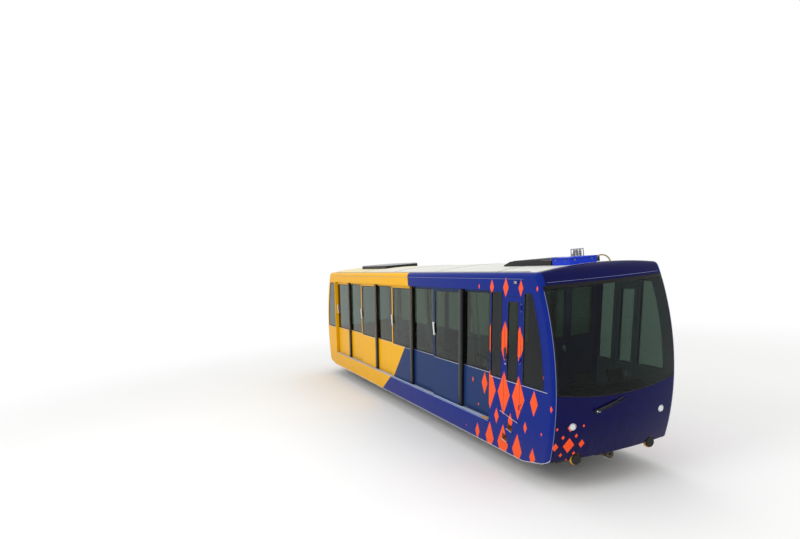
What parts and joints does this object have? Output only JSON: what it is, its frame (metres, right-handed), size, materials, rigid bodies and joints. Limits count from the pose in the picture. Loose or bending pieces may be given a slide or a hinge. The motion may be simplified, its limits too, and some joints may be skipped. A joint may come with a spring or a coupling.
{
  "type": "funicular car",
  "caption": "Funicular passenger car with sloped sides, outside sliding doors, a cab with a curved windscreen at the upper end, and bogies with rail brakes.",
  "frame": {"origin": "bottom centre of the bounding box, level with the tips of the wheel flanges", "axes": "+X along the rails towards the upper end with the cab, +Z square to the rails, -Y the side seen in the picture. The car is stored level on its wheels, as on flat rails."},
  "size_m": [13.7098, 2.486, 3.8119],
  "materials": {
    "body_yellow": "gloss paint",
    "body_blue": "gloss paint",
    "body_navy": "gloss paint",
    "roof_cream": "satin paint",
    "window_glass": "tinted",
    "lamp_lens": "clear",
    "frame_black": "satin paint",
    "steel_wheel": "worn",
    "cast_frame": "painted",
    "floor_covering": "studded",
    "bulkhead_blue": "satin",
    "seat_shell": "satin",
    "pole_steel": "polished",
    "trim_black": "satin",
    "roof_blue": "gloss paint",
    "collector_grey": "satin",
    "buffer_rubber": "matte"
  },
  "bodies": {
    "car": {"front_mask": "body_navy", "front_windscreen": "window_glass", "front_brow": "body_navy", "rear_mask": "body_yellow", "rear_windscreen": "window_glass", "rear_brow": "body_yellow", "buffers": "buffer_rubber", "end_lamps": "lamp_lens", "roof": "roof_cream", "side_glass": "window_glass", "stepped_floor": "floor_covering", "underframe": "frame_black", "brake_power_pack": "frame_black", "rope_socket": "cast_frame", "cab_bulkhead": "bulkhead_blue", "bulkhead_glass": "window_glass", "driver_desk": "trim_black", "benches": "seat_shell", "grab_poles": "pole_steel", "roof_box": "roof_blue", "roof_vents": "trim_black", "current_collector": "collector_grey", "wipers": "trim_black", "near_side_skirt": "body_blue", "near_cantrail": "body_blue", "near_cab_side": "body_blue", "near_rear_side": "body_yellow", "near_fixed_panels": "body_blue", "far_side_skirt": "body_blue", "far_cantrail": "body_blue", "far_cab_side": "body_blue", "far_rear_side": "body_yellow", "far_fixed_panels": "body_blue"},
    "near_leaf_1": {"near_door_1": "body_yellow", "near_door_glass_1": "window_glass"},
    "near_leaf_2": {"near_door_2": "body_yellow", "near_door_glass_2": "window_glass"},
    "near_leaf_3": {"near_door_3": "body_blue", "near_door_glass_3": "window_glass"},
    "near_leaf_4": {"near_door_4": "body_blue", "near_door_glass_4": "window_glass"},
    "far_leaf_1": {"far_door_1": "body_yellow", "far_door_glass_1": "window_glass"},
    "far_leaf_2": {"far_door_2": "body_yellow", "far_door_glass_2": "window_glass"},
    "far_leaf_3": {"far_door_3": "body_blue", "far_door_glass_3": "window_glass"},
    "far_leaf_4": {"far_door_4": "body_blue", "far_door_glass_4": "window_glass"},
    "near_cab_leaf": {"near_cab_door": "body_blue", "near_cab_door_glass": "window_glass"},
    "far_cab_leaf": {"far_cab_door": "body_blue", "far_cab_door_glass": "window_glass"},
    "upper_bogie_frame": {"upper_bogie": "cast_frame"},
    "upper_axle_a": {"upper_wheelset_a": "steel_wheel"},
    "upper_axle_b": {"upper_wheelset_b": "steel_wheel"},
    "lower_bogie_frame": {"lower_bogie": "cast_frame"},
    "lower_axle_a": {"lower_wheelset_a": "steel_wheel"},
    "lower_axle_b": {"lower_wheelset_b": "steel_wheel"}
  },
  "joints": [
    {"name": "near_door_1_slide", "type": "slide", "parent": "car", "child": "near_leaf_1", "axis": [1, 0, 0], "range_m": [0, 1.19]},
    {"name": "near_door_2_slide", "type": "slide", "parent": "car", "child": "near_leaf_2", "axis": [1, 0, 0], "range_m": [0, 1.19]},
    {"name": "near_door_3_slide", "type": "slide", "parent": "car", "child": "near_leaf_3", "axis": [1, 0, 0], "range_m": [0, 1.19]},
    {"name": "near_door_4_slide", "type": "slide", "parent": "car", "child": "near_leaf_4", "axis": [1, 0, 0], "range_m": [0, 1.19]},
    {"name": "far_door_1_slide", "type": "slide", "parent": "car", "child": "far_leaf_1", "axis": [1, 0, 0], "range_m": [0, 1.19]},
    {"name": "far_door_2_slide", "type": "slide", "parent": "car", "child": "far_leaf_2", "axis": [1, 0, 0], "range_m": [0, 1.19]},
    {"name": "far_door_3_slide", "type": "slide", "parent": "car", "child": "far_leaf_3", "axis": [1, 0, 0], "range_m": [0, 1.19]},
    {"name": "far_door_4_slide", "type": "slide", "parent": "car", "child": "far_leaf_4", "axis": [1, 0, 0], "range_m": [0, 1.19]},
    {"name": "near_cab_door_hinge", "type": "hinge", "parent": "car", "child": "near_cab_leaf", "pos_m": [5.7864, -1.211, 1.822], "axis": [0.1791, 0, 0.9838], "range_deg": [0, 80]},
    {"name": "far_cab_door_hinge", "type": "hinge", "parent": "car", "child": "far_cab_leaf", "pos_m": [5.7864, 1.211, 1.822], "axis": [0.1791, 0, 0.9838], "range_deg": [-80, 0]},
    {"name": "upper_bogie_swivel", "type": "hinge", "parent": "car", "child": "upper_bogie_frame", "pos_m": [4.05, 0, 0.527], "axis": [0, 0, 1], "range_deg": [-4, 4]},
    {"name": "upper_axle_a_spin", "type": "hinge", "parent": "upper_bogie_frame", "child": "upper_axle_a", "pos_m": [4.9, 0, 0.272], "axis": [0, 1, 0], "continuous": true},
    {"name": "upper_axle_b_spin", "type": "hinge", "parent": "upper_bogie_frame", "child": "upper_axle_b", "pos_m": [3.2, 0, 0.272], "axis": [0, 1, 0], "continuous": true},
    {"name": "lower_bogie_swivel", "type": "hinge", "parent": "car", "child": "lower_bogie_frame", "pos_m": [-3.9, 0, 0.527], "axis": [0, 0, 1], "range_deg": [-4, 4]},
    {"name": "lower_axle_a_spin", "type": "hinge", "parent": "lower_bogie_frame", "child": "lower_axle_a", "pos_m": [-3.05, 0, 0.272], "axis": [0, 1, 0], "continuous": true},
    {"name": "lower_axle_b_spin", "type": "hinge", "parent": "lower_bogie_frame", "child": "lower_axle_b", "pos_m": [-4.75, 0, 0.272], "axis": [0, 1, 0], "continuous": true}
  ]
}
